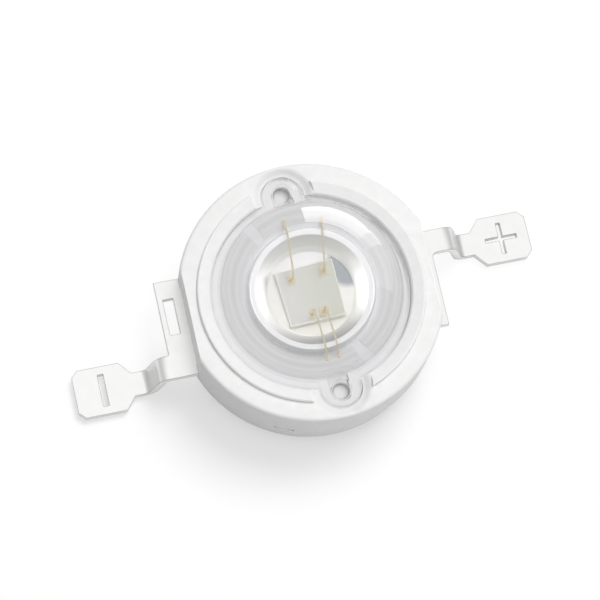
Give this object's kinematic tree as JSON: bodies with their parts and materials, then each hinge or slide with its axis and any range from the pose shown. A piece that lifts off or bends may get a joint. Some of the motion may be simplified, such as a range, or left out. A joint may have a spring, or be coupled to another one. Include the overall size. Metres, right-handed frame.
{
  "type": "high power led",
  "caption": "Surface-mount power LED emitter: white moulded housing round a metal heat slug, clear dome lens over a wire-bonded chip, and gull-wing leads punched plus and minus.",
  "frame": {"origin": "centre of the heat slug's thermal face, which is the part's lowest face", "axes": "+X along the leads towards the anode (plus) lead, +Z out through the dome lens"},
  "size_m": [0.0148, 0.008, 0.0054],
  "materials": {
    "plated_slug": "silver-plated copper, satin",
    "white_moulding": "white filled nylon, fine matt",
    "plated_lead": "silver-plated copper sheet, satin",
    "clear_lens": "clear moulded polycarbonate, polished",
    "clear_gel": "clear silicone gel",
    "silver_paste": "cured silver epoxy, matt",
    "chip": "polished semiconductor chip",
    "gold": "gold wire and bond metal"
  },
  "bodies": {
    "root": {"heat_slug": "plated_slug", "housing": "white_moulding", "anode_lead": "plated_lead", "cathode_lead": "plated_lead", "lens": "clear_lens", "encapsulant": "clear_gel", "die_attach": "silver_paste", "led_chip": "chip", "chip_contacts": "gold", "anode_wire_1": "gold", "anode_wire_2": "gold", "cathode_wire_1": "gold", "cathode_wire_2": "gold"}
  },
  "joints": []
}
